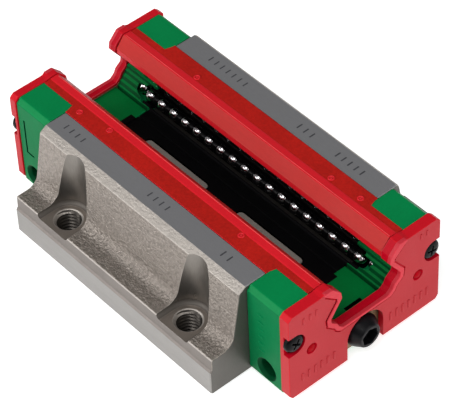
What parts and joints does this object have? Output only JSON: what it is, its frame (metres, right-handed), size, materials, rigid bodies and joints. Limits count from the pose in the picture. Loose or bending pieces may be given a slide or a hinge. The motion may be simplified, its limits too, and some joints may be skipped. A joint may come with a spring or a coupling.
{
  "type": "linear guide carriage",
  "caption": "Flanged linear guide carriage with recirculating ball chains, resting on its mounting face with the rail channel facing up.",
  "frame": {"origin": "centre of the mounting face, which the part rests on", "axes": "+X along the rail, +Y across the flanges, +Z from the mounting face towards the rail channel"},
  "size_m": [0.0942, 0.063, 0.0256],
  "materials": {
    "block_steel": "rough cast-looking steel with ground strips",
    "cap_plastic": "green moulded plastic, satin",
    "seal_red": "red moulded seal, satin",
    "plate_steel": "yellow-passivated sheet steel",
    "retainer_black": "black moulded plastic",
    "tube_plastic": "natural plastic tube",
    "plug_black": "black oxide steel",
    "screw_black": "black oxide steel",
    "ball_steel": "polished bearing steel"
  },
  "bodies": {
    "carriage": {"block_body": "block_steel", "end_cap_front": "cap_plastic", "end_cap_rear": "cap_plastic", "seal_core_plate_front": "plate_steel", "seal_core_plate_rear": "plate_steel", "end_seal_front": "seal_red", "end_seal_rear": "seal_red", "bottom_seal_left": "seal_red", "bottom_seal_right": "seal_red", "centre_retainer": "retainer_black", "mid_retainer_left": "retainer_black", "mid_retainer_right": "retainer_black", "port_plug_front": "plug_black", "port_plug_rear": "plug_black", "end_screw_front_left": "screw_black", "end_screw_front_right": "screw_black", "end_screw_rear_left": "screw_black", "end_screw_rear_right": "screw_black", "return_tube_deep_left": "tube_plastic", "return_tube_shallow_left": "tube_plastic", "return_tube_deep_right": "tube_plastic", "return_tube_shallow_right": "tube_plastic"},
    "loaded_row_deep_left": {"loaded_balls_deep_left": "ball_steel"},
    "front_turn_deep_left": {"front_turn_balls_deep_left": "ball_steel"},
    "return_row_deep_left": {"return_balls_deep_left": "ball_steel"},
    "rear_turn_deep_left": {"rear_turn_balls_deep_left": "ball_steel"},
    "loaded_row_shallow_left": {"loaded_balls_shallow_left": "ball_steel"},
    "front_turn_shallow_left": {"front_turn_balls_shallow_left": "ball_steel"},
    "return_row_shallow_left": {"return_balls_shallow_left": "ball_steel"},
    "rear_turn_shallow_left": {"rear_turn_balls_shallow_left": "ball_steel"},
    "loaded_row_deep_right": {"loaded_balls_deep_right": "ball_steel"},
    "front_turn_deep_right": {"front_turn_balls_deep_right": "ball_steel"},
    "return_row_deep_right": {"return_balls_deep_right": "ball_steel"},
    "rear_turn_deep_right": {"rear_turn_balls_deep_right": "ball_steel"},
    "loaded_row_shallow_right": {"loaded_balls_shallow_right": "ball_steel"},
    "front_turn_shallow_right": {"front_turn_balls_shallow_right": "ball_steel"},
    "return_row_shallow_right": {"return_balls_shallow_right": "ball_steel"},
    "rear_turn_shallow_right": {"rear_turn_balls_shallow_right": "ball_steel"}
  },
  "joints": [
    {"name": "row_deep_left", "type": "slide", "parent": "carriage", "child": "loaded_row_deep_left", "axis": [1, 0, 0], "range_m": [-0.002, 0.002]},
    {"name": "return_deep_left", "type": "slide", "parent": "carriage", "child": "return_row_deep_left", "axis": [1, 0, 0], "range_m": [-0.002, 0.002]},
    {"name": "front_turn_deep_left", "type": "hinge", "parent": "carriage", "child": "front_turn_deep_left", "pos_m": [0.03529, 0.01287, 0.0123], "axis": [0, 0.2474, 0.9689], "range_deg": [-31.51, 31.51]},
    {"name": "rear_turn_deep_left", "type": "hinge", "parent": "carriage", "child": "rear_turn_deep_left", "pos_m": [-0.03529, 0.01287, 0.0123], "axis": [0, 0.2474, 0.9689], "range_deg": [-31.51, 31.51]},
    {"name": "row_shallow_left", "type": "slide", "parent": "carriage", "child": "loaded_row_shallow_left", "axis": [1, 0, 0], "range_m": [-0.002, 0.002]},
    {"name": "return_shallow_left", "type": "slide", "parent": "carriage", "child": "return_row_shallow_left", "axis": [1, 0, 0], "range_m": [-0.002, 0.002]},
    {"name": "front_turn_shallow_left", "type": "hinge", "parent": "carriage", "child": "front_turn_shallow_left", "pos_m": [0.03528, 0.01264, 0.02082], "axis": [0, 0.0206, 0.9998], "range_deg": [-31.48, 31.48]},
    {"name": "rear_turn_shallow_left", "type": "hinge", "parent": "carriage", "child": "rear_turn_shallow_left", "pos_m": [-0.03528, 0.01264, 0.02082], "axis": [0, 0.0206, 0.9998], "range_deg": [-31.48, 31.48]},
    {"name": "row_deep_right", "type": "slide", "parent": "carriage", "child": "loaded_row_deep_right", "axis": [1, 0, 0], "range_m": [-0.002, 0.002]},
    {"name": "return_deep_right", "type": "slide", "parent": "carriage", "child": "return_row_deep_right", "axis": [1, 0, 0], "range_m": [-0.002, 0.002]},
    {"name": "front_turn_deep_right", "type": "hinge", "parent": "carriage", "child": "front_turn_deep_right", "pos_m": [0.03529, -0.01287, 0.0123], "axis": [0, 0.2474, -0.9689], "range_deg": [-31.51, 31.51]},
    {"name": "rear_turn_deep_right", "type": "hinge", "parent": "carriage", "child": "rear_turn_deep_right", "pos_m": [-0.03529, -0.01287, 0.0123], "axis": [0, 0.2474, -0.9689], "range_deg": [-31.51, 31.51]},
    {"name": "row_shallow_right", "type": "slide", "parent": "carriage", "child": "loaded_row_shallow_right", "axis": [1, 0, 0], "range_m": [-0.002, 0.002]},
    {"name": "return_shallow_right", "type": "slide", "parent": "carriage", "child": "return_row_shallow_right", "axis": [1, 0, 0], "range_m": [-0.002, 0.002]},
    {"name": "front_turn_shallow_right", "type": "hinge", "parent": "carriage", "child": "front_turn_shallow_right", "pos_m": [0.03528, -0.01264, 0.02082], "axis": [0, 0.0206, -0.9998], "range_deg": [-31.48, 31.48]},
    {"name": "rear_turn_shallow_right", "type": "hinge", "parent": "carriage", "child": "rear_turn_shallow_right", "pos_m": [-0.03528, -0.01264, 0.02082], "axis": [0, 0.0206, -0.9998], "range_deg": [-31.48, 31.48]}
  ],
  "couplings": [
    {"joint": "return_deep_left", "follows": "row_deep_left", "ratio": -1},
    {"joint": "front_turn_deep_left", "follows": "row_deep_left", "rad_per_m": 274.87},
    {"joint": "rear_turn_deep_left", "follows": "row_deep_left", "rad_per_m": 274.87},
    {"joint": "return_shallow_left", "follows": "row_shallow_left", "ratio": -1},
    {"joint": "front_turn_shallow_left", "follows": "row_shallow_left", "rad_per_m": 274.67},
    {"joint": "rear_turn_shallow_left", "follows": "row_shallow_left", "rad_per_m": 274.67},
    {"joint": "return_deep_right", "follows": "row_deep_right", "ratio": -1},
    {"joint": "front_turn_deep_right", "follows": "row_deep_right", "rad_per_m": 274.87},
    {"joint": "rear_turn_deep_right", "follows": "row_deep_right", "rad_per_m": 274.87},
    {"joint": "return_shallow_right", "follows": "row_shallow_right", "ratio": -1},
    {"joint": "front_turn_shallow_right", "follows": "row_shallow_right", "rad_per_m": 274.67},
    {"joint": "rear_turn_shallow_right", "follows": "row_shallow_right", "rad_per_m": 274.67}
  ]
}
